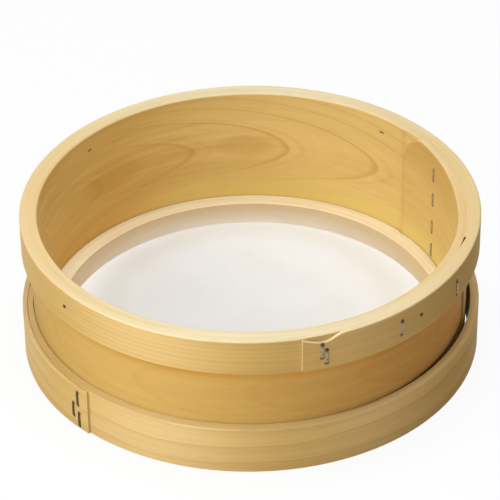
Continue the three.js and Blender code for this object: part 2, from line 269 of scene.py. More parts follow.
class Finish:
    """The nodes of a material or a world."""

    def __init__(self, owner):
        self.owner = owner
        owner.use_nodes = True
        self.tree = owner.node_tree
        self.tree.nodes.clear()

    def node(self, kind, settings=None, inputs=None, output=0):
        """Adds a node: its settings first, then its sockets' values or links."""
        made = self.tree.nodes.new(kind)
        for name, setting in (settings or {}).items():
            setattr(made, name, setting)
        for key, given in (inputs or {}).items():
            socket = made.inputs[key]
            if isinstance(given, Value):
                self.tree.links.new(given.socket, socket)
            else:
                socket.default_value = given
        return Value(self, made.outputs[output]) if made.outputs else None

    def attribute(self, name, output="Vector"):
        return self.node("ShaderNodeAttribute", {"attribute_name": name}, output=output)

    def parts(self, vector):
        split = self.node("ShaderNodeSeparateXYZ", inputs={"Vector": vector})
        outputs = split.socket.node.outputs
        return [Value(self, outputs[axis]) for axis in "XYZ"]

    def shifted(self, vector, *offset):
        return self.node("ShaderNodeVectorMath", {"operation": "ADD"}, {0: vector, 1: offset})

    def apart(self, vector, place):
        return self.node("ShaderNodeVectorMath", {"operation": "DISTANCE"}, {0: vector, 1: place}, "Value")

    def noise(self, vector, scales, detail=2.0, roughness=0.5):
        """Noise of a scale for each axis."""
        place = self.node("ShaderNodeVectorMath", {"operation": "MULTIPLY"}, {0: vector, 1: scales})
        return self.node("ShaderNodeTexNoise", {"noise_dimensions": "3D"},
                         {"Vector": place, "Scale": 1.0, "Detail": detail, "Roughness": roughness}, "Fac")

    def mix(self, factor, first, second, blend="MIX"):
        """A mix of two colours."""
        plain = [tint if isinstance(tint, Value) else (*tint, 1.0) for tint in (first, second)]
        return self.node("ShaderNodeMix", {"data_type": "RGBA", "blend_type": blend},
                         {0: factor, 6: plain[0], 7: plain[1]}, 2)

    def grey(self, value):
        """A value as a grey colour."""
        return self.node("ShaderNodeCombineColor", inputs={0: value, 1: value, 2: value})

    def bump(self, height, strength, distance):
        return self.node("ShaderNodeBump", None,
                         {"Height": height, "Strength": strength, "Distance": distance})

    def surface(self, **inputs):
        """The finished surface, one Principled shader."""
        sockets = {name.replace("_", " "): given for name, given in inputs.items()}
        shader = self.node("ShaderNodeBsdfPrincipled", None, sockets)
        self.node("ShaderNodeOutputMaterial", None, {"Surface": shader})
        return self.owner


def toned(tint, *gains):
    """A plain colour, each channel multiplied by its gain."""
    return [channel * gain for channel, gain in zip(tint, gains)]


# Finishes

@dataclass
class Grain:
    """How a strip's wood is figured. Runs and heights are in metres, along the strip and above the foot."""
    strength: float             # how far the growth rings show
    seed: float                 # which piece of wood it is
    across: float = 0.0         # growth rings for each metre of height
    along: float = 0.0          # growth rings for each metre of run
    through: float = 0.0        # growth rings for each metre of thickness
    bow: float = 0.0            # how sharply the rings bow into a flame
    bow_height: float = 0.0     # height of the flame's axis
    start: float = 0.0          # the ring that the strip starts on
    wander: float = 0.6         # how far the rings wander
    outside: float = 1.0        # share of the rings that shows on the outside
    plain: float = 0.0          # run up to which the strip stays plain
    warm_shade: float = 0.0          # run up to which its outside is redder: painted warm shade
    bold: tuple = None          # runs between which its late wood grows bold
    edge_sheen: tuple = None       # a painted sheen swinging along its edges between warm and pale: pace and start
    light_swing: tuple = None         # light and shade painted on its faces, swinging darker and lighter: pace and start
    hearts_and_shade: tuple = ()          # darker patches inside, one of them painted shade: run, height, half length, half width, strength
    gap_shade: tuple = None         # painted shade, a dark line outside in the gap behind the bottom band's top edge: lower and upper height, runs between which it fades
    band_shadow: tuple = None       # painted shadow outside, a warm dark line under the top band: its upper height and its depth
    painted_bounce: tuple = None      # painted bounce light from the cloth, lighter towards the foot inside: the heights and two pairs of runs between which it fades


class BentWood(Finish):
    """Planed, bent softwood: rings and fibres that follow the strip, pale eased edges, iron stains, and
    painted light and shade.
    """

    def __init__(self, name, grain, pale, ring):
        super().__init__(bpy.data.materials.new(name))
        self.grain = grain
        self.pale = pale
        self.ring = ring
        self.place = self.attribute("grain")
        self.edge = self.attribute("edge", "Fac")
        self.inside = self.attribute("inside", "Fac")
        self.run, self.height, self.depth = self.parts(self.place)
        seed = grain.seed
        self.here = self.shifted(self.place, seed * 3.7, seed * 1.3, seed * 2.1)
        self.wobble = self.noise(self.here, (5.0, 22.0, 60.0)) - 0.5
        self.fibre = self.noise(self.here, (28.0, 2600.0, 2600.0), 3.0, 0.65)
        self.streak = self.noise(self.here, (9.0, 260.0, 260.0), 3.0, 0.6)

    def outside(self, strength):
        """A strength that counts only on the outside."""
        return strength * (1.0 - self.inside)

    def growth_rings(self):
        """How far the growth rings darken the wood, and the late wood alone."""
        grain, wobble = self.grain, self.wobble
        lift = self.height - grain.bow_height
        rings = (self.run * grain.along + self.height * grain.across + self.depth * grain.through
                 + lift * lift * grain.bow + wobble * grain.wander + grain.start)
        phase = rings.fraction()
        late = phase.hump(0.87, 0.96, 0.962, 0.99)
        early = phase.hump(0.2, 0.9, 0.9, 1.0)
        twin = phase.hump(0.05, 0.12, 0.12, 0.18)
        fine = (rings * 3.0 + wobble * 1.7).fraction().hump(0.3, 0.9, 0.9, 1.0)
        line = late * 0.4 + twin * 0.2 + early * 0.36
        if grain.bold:
            bold = self.run.rise(*grain.bold, 0.4, 1.0) * self.height.rise(0.02, 0.06, 0.35, 1.0)
            line = (late * 0.95 + twin * 0.35) * bold + early * 0.16
        weight = self.noise(self.here, (3.0, 14.0, 14.0), 1.0).rise(0.3, 0.7, 0.5, 1.0)
        shown = grain.outside + self.inside * (1.0 - grain.outside)
        mark = (line + fine * 0.08) * weight * shown * grain.strength
        if grain.plain > 0.0:
            mark = mark * self.run.rise(0.5 * grain.plain, grain.plain, 0.15, 1.0)
        return mark, late

    def face(self, mark, inner):
        """The colour of the planed faces."""
        drift = self.noise(self.here, (4.5, 16.0, 16.0))
        fleck = self.noise(self.here, (45.0, 420.0, 420.0), 1.0).rise(0.70, 0.80)
        tint = self.mix(mark, self.mix(self.inside, self.pale, inner), self.ring)
        tint = self.mix(drift.rise(0.35, 0.75, 0.0, 0.65), tint, toned(self.pale, 0.93, 0.84, 0.70))
        tint = self.mix(fleck * 0.22, tint, self.ring)
        for at_run, at_height, half_length, half_width, strength in self.grain.hearts_and_shade:
            aside, above = (self.run - at_run) / half_length, (self.height - at_height) / half_width
            away = aside * aside + above * above + self.wobble + self.streak - 0.5
            tint = self.mix(away.rise(0.0, 1.2, 1.0, 0.0) * self.inside * strength, tint, self.ring)
        shade = self.streak.rise(0.25, 0.75, 0.96, 1.03) * self.fibre.rise(0.2, 0.8, 0.97, 1.03)
        return self.mix(1.0, tint, self.grey(shade), "MULTIPLY")

    def lit_and_shaded(self, tint):
        """The faces' colour with painted light and shade in it: warm shade, bounce light, light swinging
        round a strip, and a shadow under the top band.
        """
        grain = self.grain
        # Painted warm shade: the outside redder near the strip's start, the side that lies in shade
        if grain.warm_shade > 0.0:
            redder = self.outside(self.run.rise(0.4 * grain.warm_shade, grain.warm_shade, 1.0, 0.0))
            tint = self.mix(redder, tint, self.mix(1.0, tint, (1.12, 0.93, 0.92), "MULTIPLY"))
        # Painted bounce light from the cloth: the inner face lighter towards its foot
        if grain.painted_bounce:
            low, high, first, full, near, far = grain.painted_bounce
            along = self.run.rise(first, full).greater(self.run.rise(near, far, 1.0, 0.0))
            painted_bounce = self.height.rise(low, high, 1.0, 0.0) * along * self.inside
            tint = self.mix(painted_bounce * 0.85, tint, colours().painted_bounce)
        # Painted light and shade: the faces swing lighter and darker round the strip
        if grain.light_swing:
            pace, start = grain.light_swing
            light_swing = self.run.swing(pace, self.wobble * 0.8 + start)
            tint = self.mix(1.0, tint, self.mix(light_swing, (0.95, 0.94, 0.88), (1.10, 1.14, 1.30)), "MULTIPLY")
        # Painted shadow: a warm dark line on the outside under the top band
        if grain.band_shadow:
            high, reach = grain.band_shadow
            line = self.height.hump(high - reach, high - 0.4 * reach, high, high + 2 * MM)
            tint = self.mix(self.outside(line * self.streak.rise(0.2, 0.7, 0.2, 0.6)), tint, self.ring)
        return tint

    def planed_edges(self, tint, edge_share, planed):
        """The colour with the eased edges in it, lighter than the faces: partly the planed wood, partly a
        painted sheen.
        """
        worn_and_sheen = self.edge * self.streak.rise(0.25, 0.7, 0.55, 1.0) * edge_share
        tone = colours()
        # The swing between the warm and pale edge colours is a painted sheen
        edge_sheen = self.run.swing(*self.grain.edge_sheen) if self.grain.edge_sheen else 0.5
        return self.mix(worn_and_sheen, tint, planed or self.mix(edge_sheen, tone.edge_warm, tone.edge_pale))

    def soil(self, stains):
        """How far painted shade and iron stains blacken the wood: shade at the ends, in the lap's corner,
        inside the bottom band and in the gap above it.
        """
        soil = self.attribute("soil", "Fac")
        # Painted shade: a dark line outside, in the gap behind the bottom band's top edge
        if self.grain.gap_shade:
            low, high, fade_start, fade_end = self.grain.gap_shade
            line = self.height.hump(low, low + 0.6 * MM, high, high + 0.12 * MM)
            soil = soil.greater(self.outside(line * self.run.rise(fade_start, fade_end, 0.9, 0.05)))
        for spot, reach in stains:
            soil = soil.greater(self.apart(self.place, spot).rise(reach * 0.4, reach, 1.0, 0.0))
        return soil


def bent_wood(name, grain, pale, ring, stains=(), edge_share=1.0, planed=None, inner=None):
    """The finish of a strip; planed and inner are the colours of its edges and inner face if they differ."""
    wood = BentWood(name, grain, pale, ring)
    mark, late = wood.growth_rings()
    tint = wood.lit_and_shaded(wood.face(mark, inner or colours().inside_pale))
    tint = wood.planed_edges(tint, edge_share, planed)
    soil = wood.soil(stains)
    # Painted shade and iron stains, both in the colour of iron stain
    tint = wood.mix(soil * 0.85, tint, colours().iron_stain)
    relief = wood.fibre * 0.5 + wood.streak * 0.6 - late * 0.4 - soil * 2.5
    gloss = 0.47 + wood.fibre * 0.12 + mark * 0.10 - wood.edge * 0.06
    return wood.surface(Base_Color=tint, Roughness=gloss, Specular_IOR_Level=0.05,
                        Normal=wood.bump(relief, 0.22, 0.15 * MM))


def straining_cloth(name):
    """Fine white plain weave: threads over and under, see-through between them, thinner by the hoop, with
    painted shade on a ring near it.
    """
    weave = Finish(bpy.data.materials.new(name))
    pitch = cloth().pitch
    place = weave.attribute("weave")
    across, along, _ = weave.parts(place)
    slub = weave.noise(place, (900.0, 900.0, 0.0)) - 0.5
    warp, weft = [((way / pitch + slub * 0.16).fraction() - 0.5).size() for way in (across, along)]
    thread = warp.rise(0.2, 0.34, 1.0, 0.0).greater(weft.rise(0.2, 0.34, 1.0, 0.0))
    over, under = [(way / (2.0 * pitch)).fraction() - 0.5 for way in (across, along)]
    crossing = (over * under).rise(-0.02, 0.02)
    cloud = weave.noise(place, (28.0, 28.0, 0.0), 3.0)

    radius = weave.apart(place, (0.0, 0.0, 0.0))
    ledge = hoops().body_radius - hoops().inner_wall - 1.0 * MM
    thin = (radius.rise(ledge - 33 * MM, ledge - 3 * MM, 0.0, 0.64)
            + radius.rise(ledge - 2 * MM, ledge, 0.0, 0.15))
    light = weave.node("ShaderNodeLightPath", output="Is Shadow Ray")
    cover = thread * 0.45 + 0.52
    alpha = cover * (1.0 - thin) * cloud.rise(0.2, 0.8, 0.94, 1.05) * (1.0 - light * 0.65)

    tone = colours().thread
    # Painted shade and warm bounce from the wall on a ring of the cloth near the hoop
    wall_shade = radius.hump(ledge - 50 * MM, ledge - 28 * MM, ledge - 20 * MM, ledge - 8 * MM)
    tint = weave.mix(cloud.rise(0.3, 0.7), tone, toned(tone, 0.98, 0.97, 0.95))
    tint = weave.mix(wall_shade, tint, toned(tone, 0.90, 0.88, 0.82))
    relief = thread * 0.7 + crossing * thread * 0.5
    return weave.surface(Base_Color=tint, Roughness=0.72 + crossing * 0.1, Alpha=alpha,
                         Normal=weave.bump(relief, 0.3, 0.12 * MM))


def fastener_steel(name, bright, tarnish, lower_end=1.0):
    """Drawn steel wire, dull and drawn lengthwise, tarnished in patches, and dark where it enters the wood:
    painted shade of the hole, in the colour of iron stain.

    lower_end is the share of that darkness at a staple's lower end."""
    steel = Finish(bpy.data.materials.new(name))
    tone = colours()
    place = steel.attribute("wire")
    drawn = steel.noise(place, (300.0, 6000.0, 6000.0), 3.0, 0.6)
    patch = steel.noise(place, (700.0, 900.0, 900.0))
    tint = steel.mix(patch.rise(0.48, 0.72, 0.0, 0.75 * tarnish), bright, tone.steel_dark)
    tint = steel.mix(1.0, tint, steel.grey(drawn.rise(0.2, 0.8, 0.86, 1.08)), "MULTIPLY")
    along, _, _ = steel.parts(place)
    half = fasteners().crown / 2.0
    ends = (half - 2.2 * MM, half - 0.6 * MM)
    # Painted shade: the wire darkens towards its ends, where it goes into the wood
    sunk = (0.0 - along).rise(*ends).greater(along.rise(*ends, 0.0, lower_end))
    tint = steel.mix(sunk * 0.95 * tarnish, tint, tone.iron_stain)
    gloss = 0.34 + patch * 0.2 + drawn * 0.1
    return steel.surface(Base_Color=tint, Metallic=0.65 - patch.rise(0.5, 0.8, 0.0, 0.4), Roughness=gloss,
                         Normal=steel.bump(drawn, 0.2, 0.05 * MM))


# Shapes

def ease(part):
    part = min(max(part, 0.0), 1.0)
    return part * part * (3.0 - 2.0 * part)


def lerp(start, end, part):
    return start + (end - start) * part


def swelling(angle, centre, spread):
    """A smooth swelling: 1 at its centre and 0 at its spread to either side, in degrees."""
    away = (angle - centre + 180.0) % FULL_TURN - 180.0
    return math.cos(min(abs(away) / spread, 1.0) * math.pi / 2.0) ** 2


def polar(radius, angle, height):
    bearing = math.radians(angle)
    return (radius * math.cos(bearing), radius * math.sin(bearing), height)


def outward_and_aside(angle):
    """The level directions away from the hoops' axis and along them, anticlockwise, at an angle."""
    return Vector(polar(1.0, angle, 0.0)), Vector(polar(1.0, angle + 90.0, 0.0))


ARC_STEPS = 3
SIDE_ROWS, EDGE_ROWS = 6, 3
LEAST_EASE, MOST_EASE = 0.02 * MM, 0.35
FLAT_MARGIN, FLAT_SHARE = 0.8 * MM, 0.25


def arc(centre_radius, centre_height, rounding, first):
    """Points of a quarter circle from the angle first, with their shares of the edge and the inner face."""
    points = []
    for step in range(ARC_STEPS + 1):
        bearing = math.radians(first + 90.0 * step / ARC_STEPS)
        points.append((centre_radius + rounding * math.cos(bearing),
                       centre_height + rounding * math.sin(bearing),
                       abs(math.sin(bearing)), max(-math.cos(bearing), 0.0)))
    return points


def between(start, end, count):
    """Points on a straight side, the outermost close to its ends so that the shading stays flat."""
    reach = math.dist(start[:2], end[:2])
    near = min(FLAT_MARGIN / reach, FLAT_SHARE) if reach > 0.0 else FLAT_SHARE
    places = [lerp(near, 1.0 - near, i / (count - 1)) for i in range(count)]
    return [(lerp(start[0], end[0], part), lerp(start[1], end[1], part), *start[2:]) for part in places]


def strip_section(inner, outer, bottom, top, eased):
    """A strip's cross-section as (radius, height, shares of edge and inner face), its four corners eased."""
    limit = MOST_EASE * (outer - inner)
    low_in, low_out, high_out, high_in = [max(min(rounding, limit), LEAST_EASE) for rounding in eased]
    corners = [
        arc(inner + low_in, bottom + low_in, low_in, 180.0),
        arc(outer - low_out, bottom + low_out, low_out, 270.0),
        arc(outer - high_out, top - high_out, high_out, 0.0),
        arc(inner + high_in, top - high_in, high_in, 90.0),
    ]
    points = []
    for side, corner in enumerate(corners):
        following = corners[(side + 1) % 4]
        upright = side % 2 == 1
        points += [*corner, *between(corner[-1], following[0], SIDE_ROWS if upright else EDGE_ROWS)]
    return points


def new_mesh(name, points, faces, sharp_angle=35.0):
    mesh = bpy.data.meshes.new(name)
    mesh.from_pydata(points, [], faces)
    mesh.validate()
    mesh.polygons.foreach_set("use_smooth", [True] * len(mesh.polygons))
    mesh.set_sharp_from_angle(angle=math.radians(sharp_angle))
    return mesh


def set_attribute(mesh, name, kind, values):
    """Stores one value for each point, a number or a vector."""
    layer = mesh.attributes.new(name, kind, "POINT")
    if kind == "FLOAT":
        layer.data.foreach_set("value", values)
    else:
        layer.data.foreach_set("vector", [part for value in values for part in value])


def loft_faces(rings, count):
    """Quads between rings of points, with a flat cap on the first and the last."""
    faces = []
    for ring in range(rings - 1):
        for k in range(count):
            a = ring * count + k
            b = ring * count + (k + 1) % count
            faces.append((a, b, b + count, a + count))
    faces.append(tuple(reversed(range(count))))
    faces.append(tuple(range((rings - 1) * count, rings * count)))
    return faces


def bent_strip(name, stations, clockwise, mid_radius, end_shade, shade_at=None):
    """A strip bent round: stations are (run, angle, section), the run in degrees along the strip.

    end_shade darkens its first and last end, and shade_at its inner face at a run: both with painted shade."""
    count = len(stations[0][2])
    points, grain, edge, inside, soil = [], [], [], [], []
    for run, angle, section in stations:
        for radius, height, flat, inward in section:
            points.append(polar(radius, angle, height))
            grain.append((math.radians(run) * mid_radius, height, radius - mid_radius))
            edge.append(flat)
            inside.append(inward)
            soil.append(inward * shade_at(run) if shade_at else 0.0)
    faces = loft_faces(len(stations), count)
    for cap, dark in zip((-2, -1), end_shade):
        ring = faces[cap]
        faces[cap] = tuple(range(len(points), len(points) + count))
        points += [points[i] for i in ring]
        grain += [grain[i] for i in ring]
        edge += [1.0] * count
        inside += [0.0] * count
        soil += [dark] * count
    if not clockwise:
        faces = [tuple(reversed(face)) for face in faces]
    mesh = new_mesh(name, points, faces)
    set_attribute(mesh, "grain", "FLOAT_VECTOR", grain)
    set_attribute(mesh, "edge", "FLOAT", edge)
    set_attribute(mesh, "inside", "FLOAT", inside)
    set_attribute(mesh, "soil", "FLOAT", soil)
    return mesh


def run_steps(first, last, extra, step=1.2):
    """Even steps from first to last, with the extra places among them."""
    count = math.ceil((last - first) / step)
    even = [lerp(first, last, i / count) for i in range(count + 1)]
    return sorted({round(place, 4) for place in [*even, *extra]})


def place_piece(name, mesh, material, body, node):
    """Puts a piece in the scene in place of a node of the frame, riding on its body."""
    piece = bpy.data.objects.new(name, mesh)
    mesh.materials.append(material)
    bpy.context.scene.collection.objects.link(piece)
    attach(piece, body)
    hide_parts(node)
    return piece


# The body

BODY_END_WALLS = (1.0 * MM, 1.3 * MM)
BODY_TAPERS = (39.0, 52.0)
BODY_END_TRIM = ((0.0, 21.6 * MM), (1.6, 9.0 * MM), (5.8, 1.4 * MM), (7.5, 0.0))
# Painted shade at the body's two ends
BODY_END_SHADE = (0.1, 0.6)
# Painted shade: a dark line on the inner face where the lap's inner end steps
BODY_CORNER_SHADE, BODY_CORNER_REACH = 0.2, 0.5
DENT_CENTRE, DENT_SPREAD = -3.0, 58.0


def body_dent(angle):
    return hoops().dent * swelling(angle, DENT_CENTRE, DENT_SPREAD)


def body_mid():
    return hoops().body_radius + hoops().body_wall / 2.0


def body_lap_span():
    return math.degrees(hoops().body_inner_end - hoops().body_outer_end)


def body_end_trim(run):
    """How far the corner of the body's inner end is cut below the rim."""
    for (start, drop_start), (end, drop_end) in zip(BODY_END_TRIM, BODY_END_TRIM[1:]):
        if start <= run <= end:
            return lerp(drop_start, drop_end, (run - start) / (end - start))
    return 0.0


def body_faces(run):
    """The body's inner and outer radius at a run from its inner end, clockwise."""
    size = hoops()
    half = size.seam / 2.0
    span = body_lap_span()
    outer_end = math.degrees(size.body_outer_end)
    angle = math.degrees(size.body_inner_end) - run
    wall = min(lerp(BODY_END_WALLS[0], size.body_wall, ease(run / BODY_TAPERS[0])),
               lerp(BODY_END_WALLS[1], size.body_wall, ease((FULL_TURN + span - run) / BODY_TAPERS[1])))

    def seam(bearing):
        return lerp(size.body_radius + size.body_wall + half, size.body_radius - half,
                    (bearing - outer_end) / span)

    inner = size.body_radius
    if run <= span:
        inner = seam(angle) - half - wall
    if run >= FULL_TURN:
        inner = seam(angle + FULL_TURN) + half
    inner -= body_dent(angle)
    return inner, inner + wall


def body_run(angle):
    """The run at which the body first passes an angle."""
    return (math.degrees(hoops().body_inner_end) - angle) % FULL_TURN


def body_inner_face(angle):
    """The body's innermost radius at an angle."""
    return body_faces(body_run(angle))[0]


def body_outer_face(angle):
    """The body's outermost radius at an angle."""
    run = body_run(angle)
    outer = body_faces(run)[1]
    if run <= body_lap_span():
        outer = max(outer, body_faces(run + FULL_TURN)[1])
    return outer


def body_strip():
    size = hoops()
    first = math.degrees(size.body_inner_end)
    whole = FULL_TURN + body_lap_span()
    stations = []
    for run in run_steps(0.0, whole, [at for at, _ in BODY_END_TRIM] + [body_lap_span(), FULL_TURN]):
        inner, outer = body_faces(run)
        top = size.height - body_end_trim(run)
        eased = (size.arris_ease, size.arris_ease, size.sharp_ease,
                 size.sharp_ease if run > FULL_TURN else size.edge_ease)
        stations.append((run, first - run, strip_section(inner, outer, size.body_foot, top, eased)))

    # Painted shade in the corner where the lap's inner end steps
    def corner_shade(run):
        return BODY_CORNER_SHADE * swelling(run, FULL_TURN - BODY_CORNER_REACH, 2.0 * BODY_CORNER_REACH)

    return bent_strip("bent_body", stations, True, body_mid(), BODY_END_SHADE, corner_shade)


# The scarfed hoops

FLUSH_TRIM = 0.12


def scarfed_strip(name, mid, inner, outer, bottom, top, lap_end, lap_span, winding, eased, seam, proud=True,
                  end_shade=0.0, inner_shade=0.0):
    """A hoop of one strip whose ends are scarfed over each other; winding is 1 anticlockwise, -1 clockwise.

    inner and outer give a radius at an angle, top a height at a run from the strip's outer end, which
    stands proud or is trimmed flush. end_shade and inner_shade darken its ends and its inner face with
    painted shade."""
    size = hoops()
    half = seam / 2.0
    butt = math.degrees(size.gap / (size.body_radius + size.body_wall))

    def scarf(part, angle):
        return lerp(outer(angle) + half, inner(angle) + size.feather + half, part)

    stations = []
    first = 0.0 if proud else FLUSH_TRIM * lap_span
    for run in run_steps(first, FULL_TURN + lap_span, [lap_span, lap_span + butt, FULL_TURN]):
        angle = lap_end + winding * run
        low, high = inner(angle), outer(angle)
        if run < lap_span + butt:
            part = min(run / lap_span, 1.0)
            low = scarf(part, angle) + half
            high += (size.feather + size.gap) * (1.0 - ease(part)) if proud else 0.0
        rounding = eased
        if run > FULL_TURN:
            high = scarf((run - FULL_TURN) / lap_span, angle) - half
            rounding = (eased[0], size.sharp_ease, size.sharp_ease, eased[3])
        stations.append((run, angle, strip_section(low, high, bottom, top(run), rounding)))
    return bent_strip(name, stations, winding < 0, mid, (end_shade, end_shade), lambda run: inner_shade)


TONGUE_DIP_AT, TONGUE_DIP_LEAD, TONGUE_DIP_TRAIL = 5.4, 7.8, 4.8
BAND_BRIDGE = 6.0


def top_band_outer():
    size = hoops()
    return size.body_radius + size.body_wall + size.gap + size.top_wall


def top_lap():
    """The top band's outside radius, and its lap's end, span and winding."""
    size = hoops()
    return top_band_outer(), math.degrees(size.top_lap_end), math.degrees(size.top_lap_span), 1


def top_band_mid():
    return top_band_outer() - hoops().top_wall / 2.0


def top_band_strip():
    size = hoops()
    bare = size.body_radius + size.body_wall + size.gap

    def inner(angle):
        face = body_outer_face(angle)
        past_end = (math.degrees(size.body_outer_end) - angle) % FULL_TURN
        if past_end < BAND_BRIDGE:
            step = body_outer_face(math.degrees(size.body_outer_end) + 0.01)
            face = max(face, lerp(step, face, ease(past_end / BAND_BRIDGE)))
        return min(face + size.seam, bare)

    def top(run):
        spread = TONGUE_DIP_LEAD if run < TONGUE_DIP_AT else TONGUE_DIP_TRAIL
        dip = swelling(run, TONGUE_DIP_AT, spread) if run < FULL_TURN / 2.0 else 0.0
        return size.height - size.tongue_dip * dip

    eased = (size.arris_ease, size.arris_ease, size.edge_ease, size.sharp_ease)
    outer, *lap = top_lap()
    return scarfed_strip("bent_top_band", top_band_mid(), inner, lambda angle: outer,
                         size.height - size.top_height, top, *lap, eased, size.seam)


def bottom_band_outer():
    size = hoops()
    return size.body_radius + size.body_wall + cloth().thickness + 2.0 * size.gap + size.bottom_wall


def bottom_lap():
    """The bottom band's outside radius, and its lap's end, span and winding."""
    size = hoops()
    return bottom_band_outer(), math.degrees(size.bottom_lap_end), math.degrees(size.bottom_lap_span), -1


def bottom_band_mid():
    return bottom_band_outer() - hoops().bottom_wall / 2.0


# Where the bottom band stands off the body: the angle, and the spread to either side of it
RIGHT_OPENING = (-10.0, 78.0)
LEFT_OPENING, LEFT_SHARE = (188.0, 60.0), 0.1
# Painted shade at the bottom band's ends, and on its inner face, which shows in the gap by the body
FOOT_END_SHADE, FOOT_INNER_SHADE = 0.3, 0.75


def bottom_band_gap(angle):
    """The gap between the body and the bottom band, which opens to the right and hardly to the left."""
    size = hoops()
    open_gap = cloth().thickness + 2.0 * size.gap
    opening = swelling(angle, *RIGHT_OPENING) + LEFT_SHARE * swelling(angle, *LEFT_OPENING)
    return lerp(size.tuck, open_gap, opening)


def bottom_band_strip():
    size = hoops()
    bare = size.body_radius + size.body_wall
    eased = (size.arris_ease, size.arris_ease, size.edge_ease, size.sharp_ease)
    outer, *lap = bottom_lap()
    return scarfed_strip("bent_bottom_band", bottom_band_mid(), lambda angle: bare + bottom_band_gap(angle),
                         lambda angle: outer, 0.0, lambda run: size.bottom_height, *lap, eased, size.gap,
                         end_shade=FOOT_END_SHADE, inner_shade=FOOT_INNER_SHADE)


SWELL_CENTRE, SWELL_SPREAD = 6.0, 66.0
ROOM_REACH = 1.3


def body_room(angle):
    """The radius inside the body that stays free to either side of an angle."""
    return min(body_inner_face(angle + aside) for aside in (-ROOM_REACH, 0.0, ROOM_REACH))


def inner_hoop_faces(angle):
    """The inner hoop's inner and outer radius at an angle."""
    size = hoops()
    room = cloth().thickness + 2.0 * size.gap
    given = size.swell * swelling(angle, SWELL_CENTRE, SWELL_SPREAD)
    return size.body_radius - room - size.inner_wall - given, body_room(angle) - size.tuck


def inner_hoop_strip():
    size = hoops()
    eased = (size.arris_ease,) * 4
    mid = size.body_radius - size.inner_wall / 2.0
    return scarfed_strip("bent_inner_hoop", mid, lambda angle: inner_hoop_faces(angle)[0],
                         lambda angle: inner_hoop_faces(angle)[1], 0.0, lambda run: size.inner_height,
                         math.degrees(size.inner_lap_end), math.degrees(size.inner_lap_span), -1,
                         eased, size.gap, proud=False)


# The cloth

CLOTH_TURNS = 240
CLOTH_RINGS = 44
CLOTH_RING_SPREAD = 0.8
CLOTH_BEND, CLOTH_BEND_STEPS = 0.25 * MM, 3
CLOTH_OVER_LEDGE = 2 * MM


def rounded_path(corners, rounding):
    """A path through corner points whose inner corners are rounded."""
    path = [corners[0]]
    for before, corner, after in zip(corners, corners[1:], corners[2:]):
        start = Vector(corner) + (Vector(before) - Vector(corner)).normalized() * rounding
        end = Vector(corner) + (Vector(after) - Vector(corner)).normalized() * rounding
        for step in range(CLOTH_BEND_STEPS + 1):
            part = step / CLOTH_BEND_STEPS
            point = start.lerp(Vector(corner), part).lerp(Vector(corner).lerp(end, part), part)
            path.append(tuple(point))
    return [*path, corners[-1]]


def cloth_profile(angle):
    """The cloth from its middle to its edge as (radius, height): over the hoop, down, under, and up."""
    size = hoops()
    half = cloth().thickness / 2.0
    level = size.inner_height + size.gap / 3.0 + half
    down = body_room(angle) - size.tuck / 2.0
    low = size.gap + half
    up = size.body_radius + size.body_wall + bottom_band_gap(angle) / 2.0
    edge = size.bottom_height - cloth().edge_below_band
    ledge = inner_hoop_faces(angle)[0]
    flat = [(ledge * (ring / CLOTH_RINGS) ** CLOTH_RING_SPREAD, level) for ring in range(1, CLOTH_RINGS + 1)]
    corners = [(ledge + CLOTH_OVER_LEDGE, level), (down, level), (down, low), (up, low), (up, edge)]
    return [*flat, *rounded_path(corners, CLOTH_BEND)]


def cloth_sheet():
    points, weave = [(0.0, 0.0, cloth_profile(0.0)[0][1])], [(0.0, 0.0, 0.0)]
    count = len(cloth_profile(0.0))
    for i in range(CLOTH_TURNS):
        angle = FULL_TURN * i / CLOTH_TURNS
        flat_reach = 0.0
        before = (0.0, points[0][2])
        for radius, height in cloth_profile(angle):
            flat_reach += math.dist(before, (radius, height))
            before = (radius, height)
            points.append(polar(radius, angle, height))
            weave.append(polar(flat_reach, angle, 0.0))
    faces = []
    for i in range(CLOTH_TURNS):
        here = 1 + i * count
        following = 1 + (i + 1) % CLOTH_TURNS * count
        faces.append((0, here, following))
        for k in range(count - 1):
            faces.append((here + k, here + k + 1, following + k + 1, following + k))
    mesh = new_mesh("strained_cloth", points, faces, 60.0)
    set_attribute(mesh, "weave", "FLOAT_VECTOR", weave)
    return mesh


# Staples and brads

BODY_STAPLE_SHARES = (0.808, 0.566, 0.3, 0.0747)
BODY_STAPLE_ANGLE = 25.0
TOP_STAPLES = ((-73.5, 10.8 * MM), (-72.4, 15.2 * MM), (-51.9, 13.0 * MM), (-30.1, 14.0 * MM))
BOTTOM_STAPLES = ((-136.7, 23.5 * MM), (-136.4, 7.4 * MM), (-138.4, 13.0 * MM))
BRAD_ANGLES = (-141.0, -45.5, 48.4, 140.8)
WIRE_SIDES = 12
STAPLE_BEND_STEPS = 5
CROWN_STEPS, CROWN_BOW = 6, 0.04 * MM
CHISEL_SHARE = 0.15


def lap_outer_face(angle, outer, lap_end, lap_span, winding):
    """A scarfed hoop's outside at an angle, where its outer end stands proud."""
    size = hoops()
    run = (winding * (angle - lap_end)) % FULL_TURN
    proud = (size.feather + size.gap) * (1.0 - ease(run / lap_span)) if run < lap_span else 0.0
    return outer + proud


